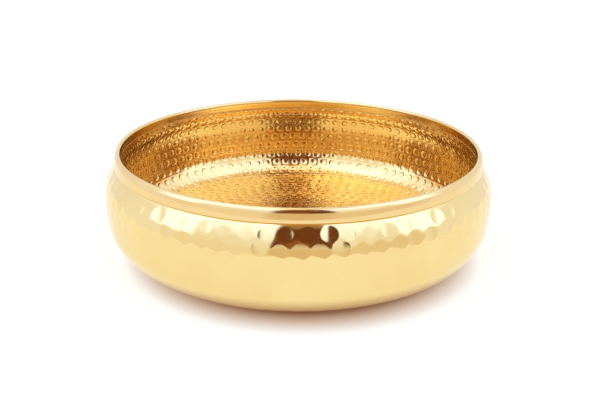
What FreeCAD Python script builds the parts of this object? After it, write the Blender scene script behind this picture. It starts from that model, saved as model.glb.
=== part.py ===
import FreeCAD, Part
import math
import os
import re
from types import SimpleNamespace

import Sketcher

# Brass urli bowl, millimetres, +Z up, origin on the axis at the resting surface.
#
# Two spun brass bowls, an outer one and an inner one with air between them, meet
# at the neck.  An upside-down channel of brass, the rim collar, is formed over
# both necks round a core wire and soldered on each side.  A plug closes the hole
# in the base that lets the hot air out while the rim is soldered.
#
# Every piece is turned about Z.  Its section is drawn on its own XZ plane, where
# X is the distance from the axis and Y is the height.

SHEET = "Dimensions"

DIMENSIONS = {
    # both bowls
    "sheet_thickness": 1.0,
    "belly_height": 46.0,
    # outer shell, outside face
    "outer_belly_radius": 152.5,
    "outer_neck_radius": 142.0,
    "outer_neck_foot": 76.6,
    "outer_floor_arc": 115.0,
    "outer_corner_arc": 32.5,
    "outer_belly_arc": 121.5,
    "outer_shoulder_arc": 34.7,
    "outer_neck_arc": 2.0,
    "foot_inner_radius": 82.0,
    "foot_outer_radius": 97.0,
    "base_recess": 2.5,
    "base_blend": 6.0,
    # inner bowl, outside face
    "inner_belly_radius": 148.5,
    "inner_neck_foot": 72.1,
    "inner_floor_height": 6.0,
    "inner_floor_radius": 97.0,
    "inner_floor_arc": 109.0,
    "inner_corner_arc": 27.5,
    "inner_belly_arc": 117.5,
    "inner_shoulder_arc": 30.7,
    "inner_neck_arc": 3.0,
    # rim
    "overall_height": 85.0,
    "collar_thickness": 0.8,
    "collar_leg_end": 78.1,
    "collar_brow_arc": 5.0,
    "collar_brow_middle": 80.9,
    "collar_skirt_arc": 27.0,
    "collar_skirt_middle": 75.8,
    "collar_skirt_end": 76.2,
    "collar_edge_radius": 0.7,
    "collar_edge_middle": 75.7,
    # solder
    "outer_seam_foot": 76.9,
    "outer_seam_top": 81.7,
    "inner_seam_foot": 76.3,
    # vent hole and plug
    "vent_radius": 2.0,
    "plug_head_radius": 3.5,
    "plug_head_height": 0.8,
}

# Sizes worked out from the sheet, as text for the sketches' expressions.  The two
# necks stand back to back at the neck seat, and the core wire above them is as
# thick as both together, so its radius is the sheet's thickness.
NECK_SEAT = "outer_neck_radius - sheet_thickness"
NECK_BORE = "outer_neck_radius - 2 * sheet_thickness"
WIRE_HEIGHT = "overall_height - collar_thickness - sheet_thickness"
NECK_TOP = "overall_height - collar_thickness - 2 * sheet_thickness"
CROWN_RADIUS = "sheet_thickness + collar_thickness"
BROW_CENTRE = (
    f"{NECK_SEAT} - sqrt((collar_brow_arc - sheet_thickness - collar_thickness)^2"
    f" - ({WIRE_HEIGHT} - collar_brow_middle)^2)"
)
SKIRT_CENTRE = (
    f"{BROW_CENTRE} - sqrt((collar_skirt_arc - collar_brow_arc)^2"
    " - (collar_brow_middle - collar_skirt_middle)^2)"
)

UP = FreeCAD.Vector(0, 0, 1)
START, END, CENTRE = 1, 2, 3
HORIZONTAL_AXIS, VERTICAL_AXIS = -1, -2


def bound(expression):
    """The expression with each of its names read from the sheet."""
    return re.sub(r"[a-z]+_[a-z_]+", lambda name: f"{SHEET}.{name[0]}", expression)


def point(x, y):
    return FreeCAD.Vector(x, y, 0)


def direction(angle):
    """A unit vector at an angle in degrees."""
    return point(math.cos(math.radians(angle)), math.sin(math.radians(angle)))


def leg_beside(slope, leg):
    """The other short side of a right triangle."""
    return math.sqrt(slope**2 - leg**2)


def angle_towards(start, end):
    """The direction from one point to another, in degrees."""
    return math.degrees(math.atan2(end.y - start.y, end.x - start.x))


def centre_between(first, first_distance, second, second_distance):
    """The point at two distances from two others, on the side away from the axis."""
    apart = second - first
    gap = apart.Length
    along = (first_distance**2 - second_distance**2 + gap**2) / (2 * gap)
    aside = leg_beside(first_distance, along)
    foot = first + apart * (along / gap)
    normal = point(apart.y, -apart.x) * (aside / gap)
    return max(foot + normal, foot - normal, key=lambda place: place.x)


def centre_within(start, distance, height):
    """The point at a height and at a distance from another, on the side of the axis."""
    return point(start.x - leg_beside(distance, start.y - height), height)


def draft_sizes():
    """The sheet's values, and those worked out from them, to draft the sections with."""
    size = SimpleNamespace(**DIMENSIONS)
    size.neck_seat = size.outer_neck_radius - size.sheet_thickness
    size.neck_bore = size.neck_seat - size.sheet_thickness
    size.wire_height = size.overall_height - size.collar_thickness - size.sheet_thickness
    size.neck_top = size.wire_height - size.sheet_thickness
    size.crown_radius = size.sheet_thickness + size.collar_thickness
    size.skirt_reach = size.collar_skirt_arc - size.collar_thickness
    size.crown_centre = point(size.neck_seat, size.wire_height)
    size.brow_centre = centre_within(
        size.crown_centre, size.collar_brow_arc - size.crown_radius, size.collar_brow_middle
    )
    size.skirt_centre = centre_within(
        size.brow_centre,
        size.collar_skirt_arc - size.collar_brow_arc,
        size.collar_skirt_middle,
    )
    return size


class Turn:
    """An arc on the way along a section, from one direction to another, in degrees."""

    def __init__(self, centre, radius, begin, finish):
        self.centre = centre
        self.radius = radius
        self.begin = begin
        self.finish = finish

    def reversed_at(self, thickness):
        """The same turn on the sheet's inner face, which is on the left, taken backwards."""
        turns_left = self.finish > self.begin
        radius = self.radius - thickness if turns_left else self.radius + thickness
        return Turn(self.centre, radius, self.finish, self.begin)

    def first_point(self):
        return self.centre + direction(self.begin) * self.radius

    def last_point(self):
        return self.centre + direction(self.finish) * self.radius


class Section:
    """A closed chain of lines and arcs in a sketch, with sizes bound to the sheet."""

    def __init__(self, body, name):
        self.sketch = body.newObject("Sketcher::SketchObject", name)
        self.sketch.AttachmentSupport = [(origin_feature(body, "XZ_Plane"), "")]
        self.sketch.MapMode = "FlatFace"
        self.start = None
        self.reached = None

    def constrain(self, *terms):
        return self.sketch.addConstraint(Sketcher.Constraint(*terms))

    def bind(self, expression, *terms):
        """A dimension, drafted at its present value and then read from the sheet."""
        index = self.constrain(*terms)
        self.sketch.setExpression(f"Constraints[{index}]", bound(expression))

    def join(self, edge, near_end, far_end, kind):
        if self.reached:
            self.constrain(kind, *self.reached, edge, near_end)
        else:
            self.start = (edge, near_end)
        self.reached = (edge, far_end)

    def line(self, begin, finish, lies=None, smooth=False):
        """A straight edge, which may be told to lie Horizontal or Vertical."""
        edge = self.sketch.addGeometry(Part.LineSegment(begin, finish))
        self.join(edge, START, END, "Tangent" if smooth else "Coincident")
        if lies:
            self.constrain(lies, edge)
        return edge

    def arc(self, turn, smooth=True):
        circle = Part.Circle(turn.centre, UP, turn.radius)
        low, high = sorted((math.radians(turn.begin), math.radians(turn.finish)))
        edge = self.sketch.addGeometry(Part.ArcOfCircle(circle, low, high))
        ends = (START, END) if turn.finish > turn.begin else (END, START)
        self.join(edge, *ends, "Tangent" if smooth else "Coincident")
        return edge

    def close(self):
        self.constrain("Coincident", *self.reached, *self.start)

    def same_centre(self, edge, other):
        self.constrain("Coincident", edge, CENTRE, other, CENTRE)

    def radius(self, edge, expression):
        self.bind(expression, "Radius", edge, self.sketch.Geometry[edge].Radius)

    def from_axis(self, edge, end, expression):
        self.bind(expression, "DistanceX", edge, end, self.sketch.getPoint(edge, end).x)

    def from_table(self, edge, end, expression):
        self.bind(expression, "DistanceY", edge, end, self.sketch.getPoint(edge, end).y)

    def length(self, edge, expression):
        self.bind(expression, "Distance", edge, self.sketch.Geometry[edge].length())


def new_sheet(doc):
    """The driving dimensions, one cell with an alias each."""
    sheet = doc.addObject("Spreadsheet::Sheet", SHEET)
    for row, (alias, value) in enumerate(DIMENSIONS.items(), start=1):
        sheet.set(f"A{row}", alias)
        sheet.set(f"B{row}", str(value))
        sheet.setAlias(f"B{row}", alias)
    doc.recompute()


def origin_feature(body, role):
    return next(item for item in body.Origin.OriginFeatures if item.Role == role)


def new_body(doc, label):
    body = doc.addObject("PartDesign::Body", label)
    body.Label = label
    return body


def turn_about_axis(body, section):
    """A full revolution of a section about its sketch's vertical axis."""
    turned = body.newObject("PartDesign::Revolution", "Turned_" + body.Label)
    turned.Profile = section.sketch
    turned.ReferenceAxis = (section.sketch, ["V_Axis"])
    turned.Angle = 360
    body.Tip = turned
    return body


def wall_turns(size, side, floor_height, floor_radius, neck_radius):
    """The five arcs of a bowl's outside face, from the floor up to the neck."""
    arc = {
        place: getattr(size, f"{side}_{place}_arc")
        for place in ("floor", "corner", "belly", "shoulder", "neck")
    }
    belly_radius = getattr(size, f"{side}_belly_radius")
    neck_foot = getattr(size, f"{side}_neck_foot")
    floor = point(floor_radius, floor_height + arc["floor"])
    belly = point(belly_radius - arc["belly"], size.belly_height)
    neck = point(neck_radius + arc["neck"], neck_foot)
    corner = centre_between(
        floor, arc["floor"] - arc["corner"], belly, arc["belly"] - arc["corner"]
    )
    shoulder = centre_between(
        belly, arc["belly"] - arc["shoulder"], neck, arc["shoulder"] + arc["neck"]
    )
    into_corner = angle_towards(floor, corner)
    into_belly = angle_towards(belly, corner)
    into_shoulder = angle_towards(belly, shoulder)
    into_neck = angle_towards(shoulder, neck)
    return [
        Turn(floor, arc["floor"], -90, into_corner),
        Turn(corner, arc["corner"], into_corner, into_belly),
        Turn(belly, arc["belly"], into_belly, into_shoulder),
        Turn(shoulder, arc["shoulder"], into_shoulder, into_neck),
        Turn(neck, arc["neck"], into_neck + 180, 180),
    ]


def draw_face(section, begin, turns, finish, straights):
    """One face of a sheet: arcs joined smoothly, with straights before the named turns.

    Returns the edges of the straights and of the turns, each in order."""
    place = begin
    lines = []
    arcs = []
    for index, turn in enumerate(turns):
        if index in straights:
            smooth = index > 0
            lines.append(section.line(place, turn.first_point(), straights[index], smooth))
        arcs.append(section.arc(turn))
        place = turn.last_point()
    if len(turns) in straights:
        lines.append(section.line(place, finish, straights[len(turns)], True))
    return lines, arcs


def draw_sheet(section, size, begin, turns, finish, straights):
    """A sheet of even thickness whose outside face follows the turns given."""
    thickness = size.sheet_thickness
    count = len(turns)
    lines, arcs = draw_face(section, begin, turns, finish, straights)
    edge_of_neck = finish - point(thickness, 0)
    lip = section.line(finish, edge_of_neck, "Horizontal")
    section.length(lip, "sheet_thickness")
    back_turns = [turn.reversed_at(thickness) for turn in reversed(turns)]
    back_straights = {count - index: lies for index, lies in straights.items()}
    middle = begin + point(0, thickness)
    back_arcs = draw_face(section, edge_of_neck, back_turns, middle, back_straights)[1]
    section.line(middle, begin, "Vertical")
    section.close()
    for edge, back_edge in zip(arcs, reversed(back_arcs)):
        section.same_centre(back_edge, edge)
    return lines, arcs


def size_wall(section, arcs, side):
    """Bind the arcs of a bowl's wall, from the floor up to the neck."""
    floor, corner, belly, shoulder, neck = arcs
    section.radius(floor, f"{side}_floor_arc")
    section.radius(corner, f"{side}_corner_arc")
    section.radius(belly, f"{side}_belly_arc")
    section.radius(shoulder, f"{side}_shoulder_arc")
    section.radius(neck, f"{side}_neck_arc")
    section.from_axis(belly, CENTRE, f"{side}_belly_radius - {side}_belly_arc")
    section.from_table(belly, CENTRE, "belly_height")
    section.from_table(neck, CENTRE, f"{side}_neck_foot")


def outer_shell(doc, size):
    """The outer bowl: a flat foot ring round a shallow recess with a vent hole."""
    body = new_body(doc, "outer_shell")
    section = Section(body, "OuterShellSection")
    blend = size.base_blend
    lean = math.degrees(math.acos(1 - size.base_recess / (2 * blend)))
    run = 2 * blend * math.sin(math.radians(lean))
    recess_edge = point(size.foot_inner_radius - run, size.base_recess - blend)
    recess_foot = point(size.foot_inner_radius, blend)
    turns = [
        Turn(recess_edge, blend, 90, 90 - lean),
        Turn(recess_foot, blend, -90 - lean, -90),
    ]
    turns += wall_turns(size, "outer", 0, size.foot_outer_radius, size.outer_neck_radius)
    # straight across the recess, under the foot and up the neck
    straights = {0: "Horizontal", 2: "Horizontal", len(turns): "Vertical"}
    lines, arcs = draw_sheet(
        section,
        size,
        point(size.vent_radius, size.base_recess),
        turns,
        point(size.outer_neck_radius, size.neck_top),
        straights,
    )
    recess, foot, neck = lines
    section.from_axis(recess, START, "vent_radius")
    section.from_table(recess, START, "base_recess")
    section.from_axis(foot, START, "foot_inner_radius")
    section.from_axis(foot, END, "foot_outer_radius")
    section.constrain("PointOnObject", foot, START, HORIZONTAL_AXIS)
    section.from_axis(neck, END, "outer_neck_radius")
    section.from_table(neck, END, NECK_TOP)
    section.radius(arcs[0], "base_blend")
    section.radius(arcs[1], "base_blend")
    size_wall(section, arcs[2:], "outer")
    return turn_about_axis(body, section)


def inner_bowl(doc, size):
    """The inner bowl: a flat floor held clear of the outer shell by the neck alone."""
    body = new_body(doc, "inner_bowl")
    section = Section(body, "InnerBowlSection")
    floor_height = size.inner_floor_height
    turns = wall_turns(size, "inner", floor_height, size.inner_floor_radius, size.neck_seat)
    # straight across the floor and up the neck
    straights = {0: "Horizontal", len(turns): "Vertical"}
    lines, arcs = draw_sheet(
        section,
        size,
        point(0, floor_height),
        turns,
        point(size.neck_seat, size.neck_top),
        straights,
    )
    floor, neck = lines
    section.constrain("PointOnObject", floor, START, VERTICAL_AXIS)
    section.from_table(floor, START, "inner_floor_height")
    section.from_axis(floor, END, "inner_floor_radius")
    section.from_axis(neck, END, NECK_SEAT)
    section.from_table(neck, END, NECK_TOP)
    size_wall(section, arcs, "inner")
    return turn_about_axis(body, section)


def rim_collar(doc, size):
    """The channel over the rim: inner leg, round crown, brow, and skirt with a rolled edge."""
    body = new_body(doc, "rim_collar")
    section = Section(body, "RimCollarSection")
    brow = size.brow_centre
    skirt = size.skirt_centre
    into_brow = angle_towards(brow, size.crown_centre)
    into_skirt = angle_towards(skirt, brow)
    edge_height = size.collar_edge_middle
    edge_reach = size.collar_skirt_arc - size.collar_edge_radius
    edge = point(skirt.x + leg_beside(edge_reach, skirt.y - edge_height), edge_height)
    skirt_end = size.collar_skirt_end
    edge_back = point(
        edge.x - leg_beside(size.collar_edge_radius, skirt_end - edge_height), skirt_end
    )
    skirt_back = point(
        skirt.x + leg_beside(size.skirt_reach, skirt_end - skirt.y), skirt_end
    )
    into_edge = angle_towards(skirt, edge)
    crown = Turn(size.crown_centre, size.crown_radius, 180, into_brow)
    brow_face = Turn(brow, size.collar_brow_arc, into_brow, into_skirt)
    skirt_face = Turn(skirt, size.collar_skirt_arc, into_skirt, into_edge)
    rolled_edge = Turn(
        edge, size.collar_edge_radius, into_edge, angle_towards(edge, edge_back) - 360
    )
    skirt_lining = Turn(skirt, size.skirt_reach, angle_towards(skirt, skirt_back), into_skirt)
    brow_lining = Turn(
        brow, size.collar_brow_arc - size.collar_thickness, into_skirt, into_brow
    )
    crown_lining = Turn(size.crown_centre, size.sheet_thickness, into_brow, 180)

    leg_foot = point(size.neck_bore, size.collar_leg_end)
    leg_tip = point(size.neck_bore - size.collar_thickness, size.collar_leg_end)
    leg_edge = section.line(leg_foot, leg_tip, "Horizontal")
    section.line(leg_tip, crown.first_point(), "Vertical")
    crown_arc = section.arc(crown)
    brow_arc = section.arc(brow_face)
    skirt_arc = section.arc(skirt_face)
    edge_arc = section.arc(rolled_edge)
    skirt_foot = section.line(edge_back, skirt_back, "Horizontal")
    lining_arc = section.arc(skirt_lining, smooth=False)
    brow_lining_arc = section.arc(brow_lining)
    crown_lining_arc = section.arc(crown_lining)
    section.line(crown_lining.last_point(), leg_foot, "Vertical", smooth=True)
    section.close()

    section.from_table(leg_edge, START, "collar_leg_end")
    section.radius(crown_arc, CROWN_RADIUS)
    section.from_axis(crown_arc, CENTRE, NECK_SEAT)
    section.from_table(crown_arc, CENTRE, WIRE_HEIGHT)
    section.radius(brow_arc, "collar_brow_arc")
    section.from_table(brow_arc, CENTRE, "collar_brow_middle")
    section.radius(skirt_arc, "collar_skirt_arc")
    section.from_table(skirt_arc, CENTRE, "collar_skirt_middle")
    section.radius(edge_arc, "collar_edge_radius")
    section.from_table(edge_arc, CENTRE, "collar_edge_middle")
    section.from_table(skirt_foot, END, "collar_skirt_end")
    section.same_centre(lining_arc, skirt_arc)
    section.same_centre(brow_lining_arc, brow_arc)
    section.same_centre(crown_lining_arc, crown_arc)
    section.radius(crown_lining_arc, "sheet_thickness")
    return turn_about_axis(body, section)


def rim_core_wire(doc, size):
    """The wire that the collar is formed round, on top of the two necks."""
    wire = doc.addObject("Part::Torus", "rim_core_wire")
    wire.Label = "rim_core_wire"
    wire.setExpression("Radius1", bound(NECK_SEAT))
    wire.setExpression("Radius2", bound("sheet_thickness"))
    wire.setExpression("Placement.Base.z", bound(WIRE_HEIGHT))
    return wire


def outer_solder_seam(doc, size):
    """The solder between the outer neck and the lining of the collar's skirt."""
    body = new_body(doc, "outer_solder_seam")
    section = Section(body, "OuterSeamSection")
    skirt = size.skirt_centre
    foot, top = size.outer_seam_foot, size.outer_seam_top
    top_reach = leg_beside(size.skirt_reach, top - skirt.y)
    foot_reach = leg_beside(size.skirt_reach, foot - skirt.y)
    neck_foot = point(size.outer_neck_radius, foot)
    neck_top = point(size.outer_neck_radius, top)
    skirt_top = skirt + point(top_reach, top - skirt.y)
    skirt_foot = skirt + point(foot_reach, foot - skirt.y)
    against_skirt = Turn(
        skirt,
        size.skirt_reach,
        angle_towards(skirt, skirt_top),
        angle_towards(skirt, skirt_foot),
    )

    against_neck = section.line(neck_foot, neck_top, "Vertical")
    section.line(neck_top, skirt_top, "Horizontal")
    skirt_arc = section.arc(against_skirt, smooth=False)
    section.line(skirt_foot, neck_foot, "Horizontal")
    section.close()

    section.from_axis(against_neck, START, "outer_neck_radius")
    section.from_table(against_neck, START, "outer_seam_foot")
    section.from_table(against_neck, END, "outer_seam_top")
    section.radius(skirt_arc, "collar_skirt_arc - collar_thickness")
    section.from_axis(skirt_arc, CENTRE, SKIRT_CENTRE)
    section.from_table(skirt_arc, CENTRE, "collar_skirt_middle")
    return turn_about_axis(body, section)


def inner_solder_seam(doc, size):
    """The fillet of solder under the collar's inner leg, scraped off flat."""
    body = new_body(doc, "inner_solder_seam")
    section = Section(body, "InnerSeamSection")
    foot = point(size.neck_bore, size.inner_seam_foot)
    corner = point(size.neck_bore, size.collar_leg_end)
    tip = corner - point(size.collar_thickness, 0)

    against_neck = section.line(foot, corner, "Vertical")
    under_leg = section.line(corner, tip, "Horizontal")
    section.line(tip, foot)
    section.close()

    section.from_axis(against_neck, START, NECK_BORE)
    section.from_table(against_neck, START, "inner_seam_foot")
    section.from_table(against_neck, END, "collar_leg_end")
    section.length(under_leg, "collar_thickness")
    return turn_about_axis(body, section)


def vent_plug(doc, size):
    """A headed plug in the vent hole, clear of the surface the bowl stands on."""
    body = new_body(doc, "vent_plug")
    section = Section(body, "VentPlugSection")
    seat = size.base_recess
    top = seat + size.sheet_thickness
    crown = seat - size.plug_head_height
    reach = size.plug_head_radius
    dome = (reach**2 + size.plug_head_height**2) / (2 * size.plug_head_height)
    centre = point(0, crown + dome)
    rim = point(reach, seat)

    cap = section.line(point(0, top), point(size.vent_radius, top), "Horizontal")
    shank = section.line(point(size.vent_radius, top), point(size.vent_radius, seat), "Vertical")
    shoulder = section.line(point(size.vent_radius, seat), rim, "Horizontal")
    dome_arc = section.arc(Turn(centre, dome, angle_towards(centre, rim), -90), smooth=False)
    section.line(point(0, crown), point(0, top), "Vertical")
    section.close()

    section.constrain("PointOnObject", cap, START, VERTICAL_AXIS)
    section.from_table(cap, START, "base_recess + sheet_thickness")
    section.from_axis(cap, END, "vent_radius")
    section.from_table(shank, END, "base_recess")
    section.from_axis(shoulder, END, "plug_head_radius")
    section.constrain("PointOnObject", dome_arc, CENTRE, VERTICAL_AXIS)
    section.from_table(dome_arc, START, "base_recess - plug_head_height")
    return turn_about_axis(body, section)


def check(doc, pieces):
    """Stop if any object failed or any piece isn't one valid solid."""
    for item in doc.Objects:
        if {"Invalid", "Error"} & set(item.State):
            raise RuntimeError(f"{item.Name} failed: {item.State}")
        if item.TypeId == "Sketcher::SketchObject" and not item.FullyConstrained:
            raise RuntimeError(f"{item.Name} is not fully constrained")
    for piece in pieces:
        if piece.Shape.isNull() or not piece.Shape.isValid():
            raise RuntimeError(f"{piece.Label} has no valid shape")
        if len(piece.Shape.Solids) != 1:
            raise RuntimeError(f"{piece.Label} is not one solid")


def main():
    doc = FreeCAD.newDocument("UrliBowl")
    new_sheet(doc)
    size = draft_sizes()
    makers = (
        outer_shell,
        inner_bowl,
        rim_collar,
        rim_core_wire,
        outer_solder_seam,
        inner_solder_seam,
        vent_plug,
    )
    pieces = [make(doc, size) for make in makers]
    doc.recompute()
    check(doc, pieces)
    os.makedirs("parts", exist_ok=True)
    for piece in pieces:
        piece.Shape.exportStep(f"parts/{piece.Label}.step")
        print(piece.Label, round(piece.Shape.Volume, 1), "mm3", piece.Shape.BoundBox)


main()
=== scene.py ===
import math
import random

import bmesh
import bpy
import numpy as np
from mathutils import Matrix, Vector


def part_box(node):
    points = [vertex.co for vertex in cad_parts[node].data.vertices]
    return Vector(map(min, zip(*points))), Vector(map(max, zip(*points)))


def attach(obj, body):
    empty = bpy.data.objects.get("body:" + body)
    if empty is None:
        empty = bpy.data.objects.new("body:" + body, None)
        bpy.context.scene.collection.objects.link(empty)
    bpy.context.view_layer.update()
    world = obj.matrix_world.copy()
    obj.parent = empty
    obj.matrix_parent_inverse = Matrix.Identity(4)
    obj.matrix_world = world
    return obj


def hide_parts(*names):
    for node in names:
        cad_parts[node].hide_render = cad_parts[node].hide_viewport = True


# A hammered double-walled brass urli bowl.  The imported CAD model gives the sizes
# and places.  This script makes the visible skins: the outer shell with its round
# planishing dents, the inner bowl with its punched rings and the smooth rim collar.
# The core wire, the solder seams and the vent plug are the CAD's own solids, with a
# material each.  Sections are worked out in millimetres, like the CAD, and turned
# into metres when a mesh is made.

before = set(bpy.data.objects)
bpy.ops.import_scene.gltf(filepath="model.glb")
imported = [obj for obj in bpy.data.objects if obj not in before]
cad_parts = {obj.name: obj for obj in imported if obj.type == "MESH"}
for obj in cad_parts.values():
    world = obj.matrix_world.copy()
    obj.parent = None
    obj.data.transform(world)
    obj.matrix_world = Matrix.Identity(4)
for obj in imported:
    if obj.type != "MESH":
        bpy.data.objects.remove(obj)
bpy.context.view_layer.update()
rng = random.Random(12)

MM = 0.001


def corner_mm(node):
    """A CAD node's highest corner, in millimetres: its outer radius and its top."""
    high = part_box(node)[1]
    return high.x / MM, high.z / MM


# ---------------------------------------------------------------- sizes, mm
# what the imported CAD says
BELLY_RADIUS = corner_mm("outer_shell")[0]
NECK_TOP = corner_mm("outer_shell")[1]
INNER_BELLY_RADIUS = corner_mm("inner_bowl")[0]
INNER_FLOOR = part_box("inner_bowl")[0].z / MM
NECK_RADIUS = corner_mm("rim_core_wire")[0]
OVERALL_HEIGHT = corner_mm("rim_collar")[1]
NECK_BORE = corner_mm("inner_solder_seam")[0]
SHEET = (NECK_RADIUS - NECK_BORE) / 2
NECK_SEAT = NECK_RADIUS - SHEET

# the radii of the walls' arcs, and the heights where the belly is widest and the
# necks begin
BELLY_HEIGHT = 46.0
OUTER_ARCS = {"floor": 115.0, "corner": 32.5, "belly": 121.5, "shoulder": 34.7, "neck": 2.0}
OUTER_NECK_FOOT = 76.6
INNER_ARCS = {"floor": 109.0, "corner": 27.5, "belly": 117.5, "shoulder": 30.7, "neck": 3.0}
INNER_NECK_FOOT = 72.1

# the base, with its foot ring round a shallow recess
FOOT_INNER_RADIUS = 82.0
FOOT_RADIUS = 97.0
BASE_RECESS = 2.5
BASE_BLEND = 6.0
VENT_RADIUS = 2.0

# the collar: arc radii, the heights of their centres and of its edges
COLLAR_THICKNESS = 0.8
BROW_ARC = 5.0
BROW_MIDDLE = 80.9
SKIRT_ARC = 27.0
SKIRT_MIDDLE = 75.8
SKIRT_END = 76.2
EDGE_RADIUS = 0.7
EDGE_MIDDLE = 75.7
LEG_END = 78.1
LEG_HEIGHTS = (LEG_END, 79.8, 81.3)

# the slow waves that beating leaves in each wall, as (size, length, seed).  They fade
# out towards the foot and towards a height below the neck
OUTER_WAVES = (0.05, 45.0, 5)
INNER_WAVES = (0.12, 26.0, 8)
WAVE_COUNT = 9
WAVES_END = 75.0
WAVES_FADE = 6.0


# ---------------------------------------------------------------- sections
def direction(angle):
    """A unit vector at an angle in degrees, as radius and height."""
    return Vector((math.cos(math.radians(angle)), math.sin(math.radians(angle))))


def angle_towards(start, end):
    return math.degrees(math.atan2(end.y - start.y, end.x - start.x))


def centre_between(first, first_distance, second, second_distance):
    """The point at two distances from two others, on the side away from the axis."""
    apart = second - first
    gap = apart.length
    along = (first_distance**2 - second_distance**2 + gap**2) / (2 * gap)
    aside = math.sqrt(first_distance**2 - along**2)
    foot = first + apart * (along / gap)
    normal = Vector((apart.y, -apart.x)) * (aside / gap)
    return max(foot + normal, foot - normal, key=lambda place: place.x)


def wall_arcs(arc, floor_height, floor_radius, belly_radius, neck_radius, neck_foot):
    """A bowl's outside face from the floor up: (centre, radius, begin, finish) arcs."""
    floor = Vector((floor_radius, floor_height + arc["floor"]))
    belly = Vector((belly_radius - arc["belly"], BELLY_HEIGHT))
    neck = Vector((neck_radius + arc["neck"], neck_foot))
    corner = centre_between(
        floor, arc["floor"] - arc["corner"], belly, arc["belly"] - arc["corner"]
    )
    shoulder = centre_between(
        belly, arc["belly"] - arc["shoulder"], neck, arc["shoulder"] + arc["neck"]
    )
    into_corner = angle_towards(floor, corner)
    into_belly = angle_towards(belly, corner)
    into_shoulder = angle_towards(belly, shoulder)
    into_neck = angle_towards(shoulder, neck)
    return [
        (floor, arc["floor"], -90, into_corner),
        (corner, arc["corner"], into_corner, into_belly),
        (belly, arc["belly"], into_belly, into_shoulder),
        (shoulder, arc["shoulder"], into_shoulder, into_neck),
        (neck, arc["neck"], into_neck + 180, 180),
    ]


def inner_face(arcs, thickness):
    """The same arcs on the sheet's other face, which is on the left of the way."""
    return [
        (centre, radius - math.copysign(thickness, finish - begin), begin, finish)
        for centre, radius, begin, finish in arcs
    ]


def beaten_waves(size, length, seed):
    """Waves of about one length in every direction, each (size, wave vector, phase)."""
    chance = random.Random(seed)
    waves = []
    for _ in range(WAVE_COUNT):
        way = Vector([chance.gauss(0, 1) for _ in range(3)]).normalized()
        way *= 2 * math.pi / (length * chance.uniform(0.7, 1.5))
        phase = chance.uniform(0, 2 * math.pi)
        waves.append((size / math.sqrt(WAVE_COUNT), tuple(way), phase))
    return waves


class Section:
    """A smooth way through arcs and the straights between them, by distance along it.

    side is -1 where the surface faces right of the way and 1 where it faces left."""

    STEP = 0.2
    FEWEST_STEPS = 4
    SAME_PLACE = 1e-4

    def __init__(self, start, arcs, end, side, waves=()):
        self.waves = waves
        points = [Vector(start)]
        headings = []
        for centre, radius, begin, finish in arcs:
            turn = math.copysign(90, finish - begin)
            arc_length = radius * math.radians(abs(finish - begin))
            steps = max(self.FEWEST_STEPS, round(arc_length / self.STEP))
            if not headings:
                headings.append(begin + turn)
            for step in range(steps + 1):
                angle = begin + (finish - begin) * step / steps
                place = centre + direction(angle) * radius
                if (place - points[-1]).length > self.SAME_PLACE:
                    points.append(place)
                    headings.append(angle + turn)
        if (Vector(end) - points[-1]).length > self.SAME_PLACE:
            points.append(Vector(end))
            headings.append(headings[-1])
        self.radius = np.array([place.x for place in points])
        self.height = np.array([place.y for place in points])
        self.heading = np.unwrap(np.radians(headings))
        gaps = np.hypot(np.diff(self.radius), np.diff(self.height))
        self.along = np.concatenate(([0.0], np.cumsum(gaps)))
        self.length = self.along[-1]
        self.side = side

    def at(self, distance):
        """Radius, height and the surface's normal as (radial, upward)."""
        radius = np.interp(distance, self.along, self.radius)
        height = np.interp(distance, self.along, self.height)
        heading = np.interp(distance, self.along, self.heading)
        return radius, height, -self.side * np.sin(heading), self.side * np.cos(heading)

    def unevenness(self, radius, angle, height):
        """The slow waves left by beating, as a lift in mm; none at the foot or the neck."""
        room = min(height, WAVES_END - height)
        fade = min(1.0, max(0.0, room / WAVES_FADE))
        place = (radius * math.cos(angle), radius * math.sin(angle), height)
        return fade * sum(
            size * math.sin(sum(a * b for a, b in zip(place, wave)) + phase)
            for size, wave, phase in self.waves
        )

    def where_radius(self, radius):
        """The first distance at which the way reaches a radius."""
        index = int(np.argmax(self.radius >= radius))
        return float(self.along[index])

    def where_height(self, height):
        """The first distance at which the way reaches a height."""
        index = int(np.argmax(self.height >= height))
        return float(self.along[index])


outer_arcs = wall_arcs(
    OUTER_ARCS, 0.0, FOOT_RADIUS, BELLY_RADIUS, NECK_RADIUS, OUTER_NECK_FOOT
)
recess_lean = math.degrees(math.acos(1 - BASE_RECESS / (2 * BASE_BLEND)))
recess_run = 2 * BASE_BLEND * math.sin(math.radians(recess_lean))
recess_edge = Vector((FOOT_INNER_RADIUS - recess_run, BASE_RECESS - BASE_BLEND))
foot_edge = Vector((FOOT_INNER_RADIUS, BASE_BLEND))
shell_arcs = [
    (recess_edge, BASE_BLEND, 90, 90 - recess_lean),
    (foot_edge, BASE_BLEND, -90 - recess_lean, -90),
] + outer_arcs
shell_outside = Section(
    (VENT_RADIUS, BASE_RECESS),
    shell_arcs,
    (NECK_RADIUS, NECK_TOP),
    side=-1,
    waves=beaten_waves(*OUTER_WAVES),
)
shell_inside = Section(
    (VENT_RADIUS, BASE_RECESS + SHEET),
    inner_face(shell_arcs, SHEET),
    (NECK_SEAT, NECK_TOP),
    side=1,
)
bowl_arcs = wall_arcs(
    INNER_ARCS, INNER_FLOOR, FOOT_RADIUS, INNER_BELLY_RADIUS, NECK_SEAT, INNER_NECK_FOOT
)
bowl_outside = Section((0, INNER_FLOOR), bowl_arcs, (NECK_SEAT, NECK_TOP), side=-1)
bowl_inside = Section(
    (0, INNER_FLOOR + SHEET),
    inner_face(bowl_arcs, SHEET),
    (NECK_BORE, NECK_TOP),
    side=1,
    waves=beaten_waves(*INNER_WAVES),
)


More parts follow.
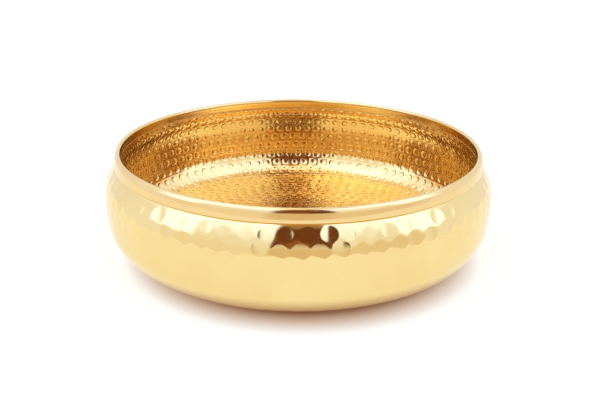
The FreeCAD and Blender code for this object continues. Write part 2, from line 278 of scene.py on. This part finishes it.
# ---------------------------------------------------------------- turned meshes
# a face that isn't seen has this many steps along it, and columns by its radius
PLAIN_STEPS = 24
PLAIN_COLUMNS_PER_MM = 1.4


class TurnedMesh:
    """A skin built ring by ring about Z, where neighbouring rings may differ in count.

    A ring is (angles, vertex numbers), both in order round the axis."""

    def __init__(self):
        self.verts = []
        self.faces = []

    def place(self, section, distance, angle, lift=0.0):
        """A vertex on a section's surface, lifted along the normal, all in mm."""
        radius, height, outward, upward = section.at(distance)
        lift += section.unevenness(radius, angle, height)
        radius += outward * lift
        height += upward * lift
        self.verts.append((radius * math.cos(angle), radius * math.sin(angle), height))
        return len(self.verts) - 1

    def ring(self, section, distance, count, phase=0.0, lifts=None):
        """An even ring of vertices, lifted by one number each if lifts are given."""
        angles = [2 * math.pi * (place + phase) / count for place in range(count)]
        if lifts is None:
            lifts = [0.0] * count
        numbers = [
            self.place(section, distance, angle, lift) for angle, lift in zip(angles, lifts)
        ]
        return angles, numbers

    def plain_rings(self, section, fewest, most, last_step):
        """Sparse rings down a face that isn't seen, from its end back to a step."""
        rings = []
        for step in range(PLAIN_STEPS, last_step - 1, -1):
            distance = section.length * step / PLAIN_STEPS
            columns = round(section.at(distance)[0] * PLAIN_COLUMNS_PER_MM)
            rings.append(self.ring(section, distance, max(fewest, min(most, columns))))
        return rings

    def join(self, first, second):
        """Faces between two rings, quads where their vertices line up."""
        first_angles, first_numbers = first
        second_angles, second_numbers = second
        first_count, second_count = len(first_numbers), len(second_numbers)
        i = j = 0
        whole = 2 * math.pi

        def angle_of(angles, index):
            return angles[index % len(angles)] + whole * (index // len(angles))

        while i < first_count or j < second_count:
            here = first_numbers[i % first_count]
            there = second_numbers[j % second_count]
            next_first = angle_of(first_angles, i + 1)
            next_second = angle_of(second_angles, j + 1)
            level = abs(next_first - next_second) < 1e-6
            if i < first_count and j < second_count and level:
                i += 1
                j += 1
                next_here = first_numbers[i % first_count]
                next_there = second_numbers[j % second_count]
                self.faces.append((here, next_here, next_there, there))
            elif j >= second_count or (i < first_count and next_first < next_second):
                i += 1
                self.faces.append((here, first_numbers[i % first_count], there))
            else:
                j += 1
                self.faces.append((here, second_numbers[j % second_count], there))

    def fan(self, ring, centre):
        """Triangles from a ring to one vertex on the axis."""
        numbers = ring[1]
        for index, number in enumerate(numbers):
            self.faces.append((number, numbers[(index + 1) % len(numbers)], centre))

    def join_all(self, rings):
        """Faces between each ring and the next."""
        for first, second in zip(rings, rings[1:]):
            self.join(first, second)

    def finish(self, name):
        """The mesh as an object, in metres."""
        return smooth_piece(name, (np.array(self.verts) * MM).tolist(), self.faces)


def smooth_piece(name, verts, faces):
    """An object in the scene, smooth shaded and with its faces all outward."""
    mesh = bpy.data.meshes.new(name)
    mesh.from_pydata(verts, [], faces)
    mesh.validate()
    work = bmesh.new()
    work.from_mesh(mesh)
    bmesh.ops.recalc_face_normals(work, faces=work.faces)
    work.to_mesh(mesh)
    work.free()
    mesh.shade_smooth()
    piece = bpy.data.objects.new(name, mesh)
    bpy.context.scene.collection.objects.link(piece)
    return piece


# ---------------------------------------------------------------- outer shell
DENT_PITCH = 13.6
DENT_ROW_PITCH = 9.4
# a dent's radius of curvature and depth, each with the shares between which it varies
DENT_CURVE = 44.0
DENT_CURVES = (0.9, 1.15)
DENT_DEPTH = 0.37
DENT_DEPTHS = (0.75, 1.1)
DENT_JITTER = 1.1
TOP_DENT_HEIGHT = 68.0
DENTS_FROM_RADIUS = 106.0
SOFT_DENTS_BELOW = 50.0
SOFT_DENT_SHARE = 0.22

# the base's rings, as (distance from the vent's edge, vertices round), the steps down
# the recess's edge and the rings from there to the foot, as distances past it
BASE_RINGS = ((0.0, 32), (4.0, 60), (12.0, 100), (28.0, 200), (50.0, 300))
RECESS_STEPS = 6
RECESS_COLUMNS = 300
FOOT_RINGS = ((5.0, 300), (12.0, 600))
# the rows of the outer wall's mesh: (from this height, spacing, vertices round)
SHELL_ZONES = ((0.0, 1.9, 600), (SOFT_DENTS_BELOW - 4.0, 0.75, 1200), (75.0, 1.6, 600))
SHELL_NECK_STEP = 2.5
SHELL_NECK_COLUMNS = 300
# the fewest and the most vertices round the face that isn't seen
SHELL_INSIDE_COLUMNS = (32, 210)


class Dents:
    """The hammer's round dents over a section, row by row down from the shoulder."""

    def __init__(self, section):
        self.section = section
        dents = []
        top = section.where_height(TOP_DENT_HEIGHT)
        soft_below = section.where_height(SOFT_DENTS_BELOW)
        row_count = int((top - section.where_radius(DENTS_FROM_RADIUS)) / DENT_ROW_PITCH)
        for row in range(row_count + 1):
            row_place = top - row * DENT_ROW_PITCH
            radius = float(section.at(row_place)[0])
            share = 1.0 if row_place > soft_below else SOFT_DENT_SHARE
            count = round(2 * math.pi * radius / DENT_PITCH)
            phase = rng.random()
            for index in range(count):
                angle = 2 * math.pi * (index + phase) / count
                angle += rng.uniform(-1, 1) * DENT_JITTER / radius
                place = row_place + rng.uniform(-1, 1) * DENT_JITTER
                curve = DENT_CURVE * rng.uniform(*DENT_CURVES) / share
                depth = DENT_DEPTH * rng.uniform(*DENT_DEPTHS) * share
                dents.append((place, angle % (2 * math.pi), radius, curve, depth))
        self.place, self.angle, self.radius, self.curve, self.depth = np.array(dents).T

    def lifts(self, distance, count):
        """How far each vertex of a ring is hammered in: the deepest dent over it."""
        lifts = np.zeros(count)
        drop = (distance - self.place) ** 2 / (2 * self.curve) - self.depth
        for index in np.nonzero(drop < 0)[0]:
            radius = self.radius[index]
            reach = math.sqrt(-2 * self.curve[index] * drop[index]) / radius
            first = math.ceil((self.angle[index] - reach) * count / (2 * math.pi))
            last = math.floor((self.angle[index] + reach) * count / (2 * math.pi))
            columns = np.arange(first, last + 1)
            across = (columns * 2 * math.pi / count - self.angle[index]) * radius
            cup = drop[index] + across**2 / (2 * self.curve[index])
            lifts[columns % count] = np.minimum(lifts[columns % count], cup)
        return lifts


def shell_rows(section):
    """The outer wall's rings as (distance, vertices round), from the foot to the neck."""
    starts = [section.where_radius(FOOT_RADIUS)]
    starts += [section.where_height(zone[0]) for zone in SHELL_ZONES[1:]]
    starts.append(section.where_height(OUTER_NECK_FOOT))
    rows = []
    for start, end, (_, spacing, count) in zip(starts, starts[1:], SHELL_ZONES):
        steps = round((end - start) / spacing)
        rows += [(start + (end - start) * step / steps, count) for step in range(steps)]
    return rows


def base_rows(section):
    """The base's rings as (distance, vertices round), from the vent to the foot."""
    recess_from = section.where_radius(recess_edge.x)
    foot_from = section.where_radius(FOOT_INNER_RADIUS)
    rows = list(BASE_RINGS)
    for step in range(RECESS_STEPS + 1):
        distance = recess_from + (foot_from - recess_from) * step / RECESS_STEPS
        rows.append((distance, RECESS_COLUMNS))
    return rows + [(foot_from + past, count) for past, count in FOOT_RINGS]


def outer_shell():
    """The outer bowl: dented outside, with a turned base and a plain face inside."""
    skin = TurnedMesh()
    section = shell_outside
    dents = Dents(section)
    rings = [skin.ring(section, distance, count) for distance, count in base_rows(section)]
    for distance, count in shell_rows(section):
        rings.append(skin.ring(section, distance, count, lifts=dents.lifts(distance, count)))
    neck_foot = section.where_height(OUTER_NECK_FOOT)
    for distance in (neck_foot, neck_foot + SHELL_NECK_STEP, section.length):
        rings.append(skin.ring(section, distance, SHELL_NECK_COLUMNS))
    rings += skin.plain_rings(shell_inside, *SHELL_INSIDE_COLUMNS, last_step=0)
    skin.join_all(rings)
    skin.join(rings[-1], rings[0])
    piece = skin.finish("outer_shell_hammered")
    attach(piece, "root")
    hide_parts("outer_shell")
    return piece


# ---------------------------------------------------------------- inner bowl
MARK_PITCH = 9.1
MARK_ROW_PITCH = 8.3
MARK_CORNERS = 12
MARK_JITTER = 0.3
# how much the marks vary in width and in depth
MARK_WIDTHS = (0.92, 1.0)
MARK_FORCES = (0.7, 1.2)
# the marks' profile from the middle out, as (radius, height): a dish with a raised edge
MARK_CENTRE = -0.30
MARK_RINGS = ((1.6, -0.27), (2.75, -0.13), (3.3, 0.10), (3.7, 0.0))
# a mark's corners run the way its cell's border does, from this direction in degrees
LOWER_LEFT = 225
# the plain strip between two rows
ROW_GAP = 0.3
# the smooth neck's rings, as distances past the marks, and the fewest and the most
# vertices round the face that isn't seen
BOWL_NECK_RINGS = (0.6, 2.0, 5.0)
BOWL_NECK_COLUMNS = 400
BOWL_OUTSIDE_COLUMNS = (16, 200)


def mark_row(skin, section, low, high, count, phase):
    """A row of cells from low to high along the section, each with one ring mark.

    Returns the row's lower and upper rings, for its neighbours to join."""
    side_steps = MARK_CORNERS // 4
    cell_angle = 2 * math.pi / count
    middle = (low + high) / 2
    radius = float(section.at(middle)[0])
    starts = [cell_angle * (index + phase) for index in range(count)]
    edge_places = [low + (high - low) * step / side_steps for step in range(side_steps + 1)]
    edges = [[skin.place(section, place, start) for place in edge_places] for start in starts]
    turns = [cell_angle * step / side_steps for step in range(1, side_steps)]
    low_parts, high_parts = (
        [[skin.place(section, place, start + turn) for turn in turns] for start in starts]
        for place in (low, high)
    )
    for index, start in enumerate(starts):
        left, right = edges[index], edges[(index + 1) % count]
        border = left[:1] + low_parts[index] + right[:-1]
        border += right[-1:] + high_parts[index][::-1] + left[:0:-1]
        punch_mark(skin, section, border, middle, start + cell_angle / 2, radius)
    low_ring = ([], [])
    high_ring = ([], [])
    for ring, parts, end in ((low_ring, low_parts, 0), (high_ring, high_parts, -1)):
        for index, start in enumerate(starts):
            ring[0].extend([start] + [start + turn for turn in turns])
            ring[1].extend([edges[index][end]] + parts[index])
    return low_ring, high_ring


def punch_mark(skin, section, border, place, angle, radius):
    """One shallow dish with a raised edge, from a cell's border in to its middle."""
    place += rng.uniform(-1, 1) * MARK_JITTER
    angle += rng.uniform(-1, 1) * MARK_JITTER / radius
    width = rng.uniform(*MARK_WIDTHS)
    force = rng.uniform(*MARK_FORCES)
    rings = []
    for reach, height in MARK_RINGS:
        ring = []
        for corner in range(MARK_CORNERS):
            turn = math.radians(LOWER_LEFT + 360 * corner / MARK_CORNERS)
            across = reach * width * math.cos(turn)
            along = reach * width * math.sin(turn)
            lift = height * force
            ring.append(skin.place(section, place + along, angle + across / radius, lift))
        rings.append(ring)
    centre = skin.place(section, place, angle, MARK_CENTRE * force)
    skin.fan((None, rings[0]), centre)
    for inner, outer in zip(rings, rings[1:] + [border]):
        for corner in range(MARK_CORNERS):
            after = (corner + 1) % MARK_CORNERS
            skin.faces.append((inner[corner], inner[after], outer[after], outer[corner]))


def inner_bowl():
    """The inner bowl: ring marks over the floor and wall, and a smooth neck."""
    skin = TurnedMesh()
    section = bowl_inside
    top = section.where_height(INNER_NECK_FOOT)
    row_count = int((top - MARK_ROW_PITCH / 2) / MARK_ROW_PITCH)
    centre_reach = top - row_count * MARK_ROW_PITCH
    middle = skin.place(section, 0.0, 0.0)
    rings = [skin.ring(section, centre_reach - ROW_GAP, MARK_CORNERS)]
    skin.fan(rings[0], middle)
    for row in range(row_count):
        low = centre_reach + row * MARK_ROW_PITCH
        high = low + MARK_ROW_PITCH - ROW_GAP
        radius = float(section.at((low + high) / 2)[0])
        count = round(2 * math.pi * radius / MARK_PITCH)
        low_ring, high_ring = mark_row(skin, section, low, high, count, rng.random())
        rings += [low_ring, high_ring]
    for first, second in zip(rings[::2], rings[1::2]):
        skin.join(first, second)
    plain = [rings[-1]]
    for distance in [top + past for past in BOWL_NECK_RINGS] + [section.length]:
        plain.append(skin.ring(section, distance, BOWL_NECK_COLUMNS))
    plain += skin.plain_rings(bowl_outside, *BOWL_OUTSIDE_COLUMNS, last_step=1)
    skin.join_all(plain)
    skin.fan(plain[-1], skin.place(bowl_outside, 0.0, 0.0))
    piece = skin.finish("inner_bowl_ringed")
    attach(piece, "root")
    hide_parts("inner_bowl")
    return piece


# ---------------------------------------------------------------- rim collar
RIM_COLUMNS = 600
RIM_SHARP_ANGLE = math.radians(40)
# how far the collar wanders, its seed and the waves that it has to a turn
RIM_WAVER = 0.05
RIM_WAVER_SEED = 3
WAVER_TURNS = (2, 3, 5, 8, 13)
WAVER_UPWARD_SHARE = 0.5


def arc_points(centre, radius, begin, finish, steps):
    """Points along an arc, both ends included."""
    return [
        centre + direction(begin + (finish - begin) * step / steps) * radius
        for step in range(steps + 1)
    ]


def turned_ring(name, outline, columns, waver):
    """A closed outline carried round the axis; waver gives the radial and upward shift."""
    angles = [2 * math.pi * column / columns for column in range(columns)]
    verts = []
    faces = []
    for angle in angles:
        outward, upward = waver(angle)
        for place in outline:
            radius = (place.x + outward) * MM
            height = (place.y + upward) * MM
            verts.append((radius * math.cos(angle), radius * math.sin(angle), height))
    count = len(outline)
    for column in range(columns):
        here = column * count
        there = (column + 1) % columns * count
        for row in range(count):
            above = (row + 1) % count
            faces.append((here + row, here + above, there + above, there + row))
    piece = smooth_piece(name, verts, faces)
    piece.data.set_sharp_from_angle(angle=RIM_SHARP_ANGLE)
    return piece


def hand_waver(amount, seed):
    """A slow wander round the rim, as a strip bent by hand has."""
    wander = random.Random(seed)
    waves = [(turns, wander.uniform(0, 2 * math.pi)) for turns in WAVER_TURNS]

    def shift(angle):
        outward = sum(math.sin(turns * angle + phase) / turns for turns, phase in waves)
        upward = sum(math.cos(turns * angle + 2 * phase) / turns for turns, phase in waves)
        return amount * outward, amount * WAVER_UPWARD_SHARE * upward

    return shift


def centre_within(start, distance, height):
    """The point at a height and at a distance from another, on the side of the axis."""
    return Vector((start.x - math.sqrt(distance**2 - (start.y - height) ** 2), height))


def beside(centre, radius, height, side):
    """The point of a circle at a height, outward for a side of 1 and inward for -1."""
    return Vector((centre.x + side * math.sqrt(radius**2 - (height - centre.y) ** 2), height))


def rim_collar():
    """The smooth channel over the rim, with its crown, brow, skirt and rolled edge."""
    crown = Vector((NECK_SEAT, OVERALL_HEIGHT - COLLAR_THICKNESS - SHEET))
    crown_radius = SHEET + COLLAR_THICKNESS
    brow = centre_within(crown, BROW_ARC - crown_radius, BROW_MIDDLE)
    skirt = centre_within(brow, SKIRT_ARC - BROW_ARC, SKIRT_MIDDLE)
    into_brow = angle_towards(brow, crown)
    into_skirt = angle_towards(skirt, brow)
    edge = beside(skirt, SKIRT_ARC - EDGE_RADIUS, EDGE_MIDDLE, 1)
    into_edge = angle_towards(skirt, edge)
    lining = SKIRT_ARC - COLLAR_THICKNESS
    edge_back = angle_towards(edge, beside(edge, EDGE_RADIUS, SKIRT_END, -1))
    skirt_back = angle_towards(skirt, beside(skirt, lining, SKIRT_END, 1))
    leg_face = NECK_BORE - COLLAR_THICKNESS

    outline = [Vector((NECK_BORE, LEG_END))]
    outline += [Vector((leg_face, height)) for height in LEG_HEIGHTS]
    outline += arc_points(crown, crown_radius, 180, into_brow, 14)
    outline += arc_points(brow, BROW_ARC, into_brow, into_skirt, 6)[1:]
    outline += arc_points(skirt, SKIRT_ARC, into_skirt, into_edge, 10)[1:]
    outline += arc_points(edge, EDGE_RADIUS, into_edge, edge_back - 360, 14)[1:]
    outline += arc_points(skirt, lining, skirt_back, into_skirt, 5)
    outline += arc_points(brow, BROW_ARC - COLLAR_THICKNESS, into_skirt, into_brow, 3)[1:]
    outline += arc_points(crown, SHEET, into_brow, 180, 6)[1:]
    waver = hand_waver(RIM_WAVER, RIM_WAVER_SEED)
    piece = turned_ring("rim_collar_polished", outline, RIM_COLUMNS, waver)
    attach(piece, "root")
    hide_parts("rim_collar")
    return piece


# ---------------------------------------------------------------- materials
def colour(red, green, blue):
    return (red, green, blue, 1.0)


class Nodes:
    """A node tree, with short calls to add and link nodes."""

    def __init__(self, tree):
        self.tree = tree

    def add(self, kind, settings=None, inputs=None):
        node = self.tree.nodes.new(kind)
        for name, value in (settings or {}).items():
            setattr(node, name, value)
        for name, value in (inputs or {}).items():
            self.feed(node.inputs[name], value)
        return node

    def feed(self, socket, value):
        """A socket's value, or a link to it when the value is another node's output."""
        if isinstance(value, bpy.types.NodeSocket):
            self.tree.links.new(value, socket)
        else:
            socket.default_value = value

    def maths(self, operation, first, second=0.0):
        node = self.add("ShaderNodeMath", {"operation": operation}, {0: first, 1: second})
        return node.outputs[0]

    def noise(self, vector, scale, detail=2.0, roughness=0.5):
        inputs = {"Vector": vector, "Scale": scale, "Detail": detail, "Roughness": roughness}
        return self.add("ShaderNodeTexNoise", {}, inputs).outputs["Fac"]

    def step(self, value, low, high, to_low=0.0, to_high=1.0):
        """to_low on the side of low, to_high on the side of high and smooth between."""
        inputs = {
            "Value": value,
            "From Min": low,
            "From Max": high,
            "To Min": to_low,
            "To Max": to_high,
        }
        settings = {"interpolation_type": "SMOOTHSTEP"}
        return self.add("ShaderNodeMapRange", settings, inputs).outputs["Result"]

    def between(self, value, low, full, fading, gone):
        """1 from full to fading, and 0 below low and above gone."""
        rise = self.step(value, low, full)
        return self.maths("MULTIPLY", rise, self.step(value, gone, fading))

    def mix(self, factor, first, second):
        """The first colour where the factor is 0 and the second where it is 1."""
        node = self.add("ShaderNodeMix", {"data_type": "RGBA"}, {"Factor": factor})
        sockets = [item for item in node.inputs if item.type == "RGBA"]
        for socket, value in zip(sockets, (first, second)):
            self.feed(socket, value)
        return next(item for item in node.outputs if item.type == "RGBA")


class Shader(Nodes):
    """A new material's nodes."""

    def __init__(self, name):
        self.material = bpy.data.materials.new(name)
        self.material.use_nodes = True
        super().__init__(self.material.node_tree)
        self.surface = self.tree.nodes["Principled BSDF"].inputs


# how fine each pattern is, in features to the metre: the brass's tint, its wear, the
# marks of polishing and the lathe's lines, which run round the axis.  They change
# slowly on the way, by this much to the radian
TINT_SCALE = 22.0
WEAR_SCALE = 160.0
POLISH_SCALE = 1400.0
LATHE_SCALE = 900.0
LATHE_CHANGE = 1.5
# how high the marks stand, in metres, and how much rougher or smoother wear and the
# lathe's lines make the surface
MARKS_HEIGHT = 0.00001
WEAR_GLOSS = (0.8, 1.35)
LATHE_GLOSS = (-0.02, 0.03)


def brass(name, light, deep, roughness, lines, polish):
    """Polished brass: a wandering tint, a worn gloss and the marks of polishing.

    lines is how strongly the marks run round the axis, as on a lathe, and polish
    how strongly they run every way, as from a buffing mop."""
    shader = Shader(name)
    place = shader.add("ShaderNodeTexCoord").outputs["Object"]
    split = shader.add("ShaderNodeSeparateXYZ", {}, {"Vector": place}).outputs
    across = shader.maths("MULTIPLY", split["X"], split["X"])
    along = shader.maths("MULTIPLY", split["Y"], split["Y"])
    radius = shader.maths("SQRT", shader.maths("ADD", across, along))
    angle = shader.maths("ARCTAN2", split["Y"], split["X"])
    round_the_axis = {
        "X": shader.maths("MULTIPLY", radius, LATHE_SCALE),
        "Y": shader.maths("MULTIPLY", split["Z"], LATHE_SCALE),
        "Z": shader.maths("MULTIPLY", angle, LATHE_CHANGE),
    }
    turned = shader.add("ShaderNodeCombineXYZ", {}, round_the_axis).outputs["Vector"]

    tint = shader.step(shader.noise(place, TINT_SCALE, 4.0, 0.6), 0.3, 0.7)
    shader.feed(shader.surface["Base Color"], shader.mix(tint, deep, light))

    wear = shader.noise(place, WEAR_SCALE, 5.0, 0.65)
    smooth, rough = (roughness * share for share in WEAR_GLOSS)
    gloss = shader.step(wear, 0.3, 0.75, smooth, rough)
    rings = shader.noise(turned, 1.0, 3.0, 0.7)
    ring_gloss = shader.step(rings, 0.3, 0.7, *LATHE_GLOSS)
    shader.feed(shader.surface["Roughness"], shader.maths("ADD", gloss, ring_gloss))

    fine = shader.noise(place, POLISH_SCALE, 3.0, 0.6)
    ring_marks = shader.maths("MULTIPLY", rings, lines)
    mop_marks = shader.maths("MULTIPLY", fine, polish)
    marks = {
        "Strength": 1.0,
        "Distance": MARKS_HEIGHT,
        "Height": shader.maths("ADD", ring_marks, mop_marks),
    }
    bump = shader.add("ShaderNodeBump", {}, marks)
    shader.feed(shader.surface["Normal"], bump.outputs["Normal"])
    shader.surface["Metallic"].default_value = 1.0
    return shader.material


def dress(piece, material):
    """One material all over a piece."""
    piece.data.materials.clear()
    piece.data.materials.append(material)


# ---------------------------------------------------------------- studio
WALL_LIGHT = colour(1.02, 1.04, 1.2)
TOP_LIGHT = colour(1.25, 1.5, 2.3)
SIDE_LIGHT = colour(1.35, 1.75, 2.7)
BACK_LIGHT = colour(0.96, 0.98, 1.1)
ZENITH_LIGHT = colour(0.52, 0.32, 0.16)
HORIZON_MIDDLE = colour(0.83, 0.67, 0.52)
HORIZON_LEFT = colour(1.0, 0.96, 0.95)
HORIZON_RIGHT = colour(0.92, 0.82, 0.72)
DOORWAY_LIGHT = colour(0.18, 0.06, 0.02)
DOORWAY_GLOW = colour(0.34, 0.13, 0.045)
LINTEL_LIGHT = colour(0.42, 0.24, 0.11)
BACKDROP_LIGHT = colour(1.1, 1.1, 1.1)

# where each light begins, in degrees: (none of it, all of it) by height over the
# horizon or by bearing from the front, and (none, all, all, none) for a span
TOP_FROM = (24.0, 42.0)
SIDE_SPAN = (56.0, 68.0, 84.0, 96.0)
SIDE_FROM = (4.0, 16.0)
BACK_FROM = (100.0, 135.0)
ZENITH_FROM = (68.0, 77.0)
HORIZON_LEFT_TO_RIGHT = (-24.0, 24.0)
HORIZON_MIDDLE_SPAN = (-24.0, -12.0, 14.0, 26.0)
HORIZON_BELOW = (9.0, 3.0)
HORIZON_WITHIN = (88.0, 64.0)
DOORWAY_SPAN = (-16.0, -13.0, 20.0, 23.0)
DOORWAY_FROM = (5.0, 9.0)
GLOW_SPAN = (-9.0, -5.0, 3.0, 8.0)
GLOW_BELOW = (32.0, 22.0)
LINTEL_FROM = (49.0, 55.0)


def studio_sky():
    """What the brass mirrors: a white studio, brighter overhead and at the sides.

    It has a warm horizon and a dark doorway in front, and a dim patch at the zenith.
    The camera sees a plain white backdrop instead."""
    world = bpy.data.worlds.new("studio")
    bpy.context.scene.world = world
    world.use_nodes = True
    world.node_tree.nodes.clear()
    sky = Nodes(world.node_tree)

    towards = sky.add("ShaderNodeTexCoord").outputs["Generated"]
    split = sky.add("ShaderNodeSeparateXYZ", {}, {"Vector": towards}).outputs
    level = sky.maths("ARCSINE", split["Z"])
    turned = sky.maths("ARCTAN2", split["X"], sky.maths("MULTIPLY", split["Y"], -1.0))
    height = sky.maths("MULTIPLY", level, math.degrees(1))
    bearing = sky.maths("MULTIPLY", turned, math.degrees(1))
    aside = sky.maths("ABSOLUTE", bearing)

    wall = sky.mix(sky.step(height, *TOP_FROM), WALL_LIGHT, TOP_LIGHT)
    side = sky.maths("MULTIPLY", sky.between(aside, *SIDE_SPAN), sky.step(height, *SIDE_FROM))
    wall = sky.mix(side, wall, SIDE_LIGHT)
    wall = sky.mix(sky.step(aside, *BACK_FROM), wall, BACK_LIGHT)

    horizon = sky.mix(sky.step(bearing, *HORIZON_LEFT_TO_RIGHT), HORIZON_LEFT, HORIZON_RIGHT)
    horizon = sky.mix(sky.between(bearing, *HORIZON_MIDDLE_SPAN), horizon, HORIZON_MIDDLE)
    low = sky.maths("MULTIPLY", sky.step(height, *HORIZON_BELOW), sky.step(aside, *HORIZON_WITHIN))
    wall = sky.mix(low, wall, horizon)
    wall = sky.mix(sky.step(height, *ZENITH_FROM), wall, ZENITH_LIGHT)

    glow = sky.maths("MULTIPLY", sky.step(height, *GLOW_BELOW), sky.between(bearing, *GLOW_SPAN))
    gloom = sky.mix(glow, DOORWAY_LIGHT, DOORWAY_GLOW)
    gloom = sky.mix(sky.step(height, *LINTEL_FROM), gloom, LINTEL_LIGHT)
    opening = sky.between(bearing, *DOORWAY_SPAN)
    doorway = sky.maths("MULTIPLY", sky.step(height, *DOORWAY_FROM), opening)
    wall = sky.mix(doorway, wall, gloom)

    seen = sky.add("ShaderNodeLightPath").outputs["Is Camera Ray"]
    final = {"Color": sky.mix(seen, wall, BACKDROP_LIGHT), "Strength": 1.0}
    background = sky.add("ShaderNodeBackground", {}, final).outputs["Background"]
    sky.add("ShaderNodeOutputWorld", {}, {"Surface": background})


# the light table: its edges, its two shades, and its glow by distance from a centre close to the
# axis.  Under the bowl the glow turns warm and dim: a painted shadow that stands in for the bowl's
# soft contact shadow
TABLE_LEFT, TABLE_RIGHT, TABLE_FRONT, TABLE_BACK = -0.55, 0.55, -0.46, 0.9
TABLE_SHADES = (colour(0.19, 0.19, 0.20), colour(0.21, 0.21, 0.22))
TABLE_MOTTLE_SCALE = 30.0
TABLE_ROUGHNESS = 0.9
TABLE_SPECULAR = 0.2
# the painted shadow's ramp: the glow's colour by distance from the centre, dark brown under the
# bowl and pale beyond it
PAINTED_SHADOW_RAMP = (
    (0.098, colour(0.05, 0.01, 0.002)),
    (0.111, colour(0.17, 0.055, 0.012)),
    (0.124, colour(0.50, 0.35, 0.24)),
    (0.143, colour(0.86, 0.83, 0.75)),
)
PAINTED_SHADOW_CENTRE = (0.003, -0.012, 0.0)


def floor():
    """A pale table top, with its front edge close in front of the bowl and a painted shadow in its
    glow under the bowl.
    """
    mesh = bpy.data.meshes.new("floor")
    corners = [
        (TABLE_LEFT, TABLE_FRONT, 0),
        (TABLE_RIGHT, TABLE_FRONT, 0),
        (TABLE_RIGHT, TABLE_BACK, 0),
        (TABLE_LEFT, TABLE_BACK, 0),
    ]
    mesh.from_pydata(corners, [], [(0, 1, 2, 3)])
    table = bpy.data.objects.new("floor", mesh)
    bpy.context.scene.collection.objects.link(table)

    shader = Shader("pale_table_painted_shadow")
    place = shader.add("ShaderNodeTexCoord").outputs["Object"]
    mottle = shader.noise(place, TABLE_MOTTLE_SCALE, 3.0)
    shader.feed(shader.surface["Base Color"], shader.mix(mottle, *TABLE_SHADES))
    # the glow darkens to a warm brown towards the bowl: a painted shadow, not one cast by the
    # lamps
    distance = {0: place, 1: PAINTED_SHADOW_CENTRE}
    away = shader.add("ShaderNodeVectorMath", {"operation": "DISTANCE"}, distance)
    glow = shader.add("ShaderNodeValToRGB", {}, {"Fac": away.outputs["Value"]})
    ramp = glow.color_ramp.elements
    ramp[0].position, ramp[0].color = PAINTED_SHADOW_RAMP[0]
    ramp[1].position, ramp[1].color = PAINTED_SHADOW_RAMP[-1]
    for position, shade in PAINTED_SHADOW_RAMP[1:-1]:
        ramp.new(position).color = shade
    shader.feed(shader.surface["Emission Color"], glow.outputs["Color"])
    shader.surface["Emission Strength"].default_value = 1.0
    shader.surface["Roughness"].default_value = TABLE_ROUGHNESS
    shader.surface["Specular IOR Level"].default_value = TABLE_SPECULAR
    dress(table, shader.material)


# the softbox over the bowl, in metres and watts, and the point that it is aimed at
SOFTBOX_PLACE = Vector((-0.3, -0.2, 1.6))
SOFTBOX_SIZE = 1.2
SOFTBOX_POWER = 4.0
SOFTBOX_TARGET = Vector((0.0, 0.0, 0.04))


def aimed(place, target):
    """The turn that points a lamp or a camera at a target, as a matrix."""
    return (target - place).to_track_quat("-Z", "Y").to_matrix()


def softbox():
    """A square area light aimed at the bowl."""
    data = bpy.data.lights.new("overhead", "AREA")
    data.shape = "SQUARE"
    data.size = SOFTBOX_SIZE
    data.energy = SOFTBOX_POWER
    lamp = bpy.data.objects.new("overhead", data)
    bpy.context.scene.collection.objects.link(lamp)
    lamp.location = SOFTBOX_PLACE
    lamp.rotation_euler = aimed(SOFTBOX_PLACE, SOFTBOX_TARGET).to_euler()


# the camera, in metres, and its lens, in millimetres
CAMERA_DISTANCE = 0.686
CAMERA_ELEVATION = math.radians(21.31)
CAMERA_TARGET = Vector((0.0014, 0.0, 0.0314))
CAMERA_LENS = 50.4
CAMERA_SENSOR = 36.0
CAMERA_ROLL = math.radians(0.46)


def camera():
    """A view from the front, from a little above the rim and down into the bowl."""
    data = bpy.data.cameras.new("camera")
    data.lens = CAMERA_LENS
    data.sensor_width = CAMERA_SENSOR
    view = bpy.data.objects.new("camera", data)
    bpy.context.scene.collection.objects.link(view)
    back = Vector((0, -math.cos(CAMERA_ELEVATION), math.sin(CAMERA_ELEVATION)))
    view.location = CAMERA_TARGET + back * CAMERA_DISTANCE
    roll = Matrix.Rotation(CAMERA_ROLL, 3, "Z")
    view.rotation_euler = (aimed(view.location, CAMERA_TARGET) @ roll).to_euler()
    bpy.context.scene.camera = view


# ---------------------------------------------------------------- the whole
# each brass: its lighter and deeper tint, roughness, lathe lines and polishing marks
BRASSES = {
    "outer_brass": (colour(0.89, 0.70, 0.31), colour(0.86, 0.66, 0.28), 0.07, 0.3, 0.4),
    # the inner bowl's brass is the outer brass tinted deeper and more orange: a painted shade for
    # the inside of the bowl
    "inner_brass": (colour(0.90, 0.64, 0.26), colour(0.87, 0.59, 0.22), 0.12, 0.3, 0.4),
    "rim_brass": (colour(0.88, 0.66, 0.30), colour(0.85, 0.62, 0.27), 0.11, 0.8, 0.3),
    "wire_brass": (colour(0.72, 0.52, 0.22), colour(0.60, 0.40, 0.16), 0.35, 1.0, 1.0),
    "hard_solder": (colour(0.85, 0.54, 0.20), colour(0.78, 0.47, 0.16), 0.45, 0.3, 0.8),
    "plug_brass": (colour(0.80, 0.60, 0.27), colour(0.70, 0.50, 0.20), 0.28, 0.6, 1.2),
}

camera()
floor()
studio_sky()
softbox()
bpy.context.scene.view_settings.view_transform = "Standard"
bpy.context.scene.cycles.glossy_bounces = 4

# the shell's dents and then the bowl's marks draw from one random sequence, in this order
shell = outer_shell()
bowl = inner_bowl()
collar = rim_collar()

metals = {name: brass(name, *finish) for name, finish in BRASSES.items()}
dress(shell, metals["outer_brass"])
dress(bowl, metals["inner_brass"])
dress(collar, metals["rim_brass"])
dress(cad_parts["rim_core_wire"], metals["wire_brass"])
dress(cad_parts["outer_solder_seam"], metals["hard_solder"])
dress(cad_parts["inner_solder_seam"], metals["hard_solder"])
dress(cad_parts["vent_plug"], metals["plug_brass"])
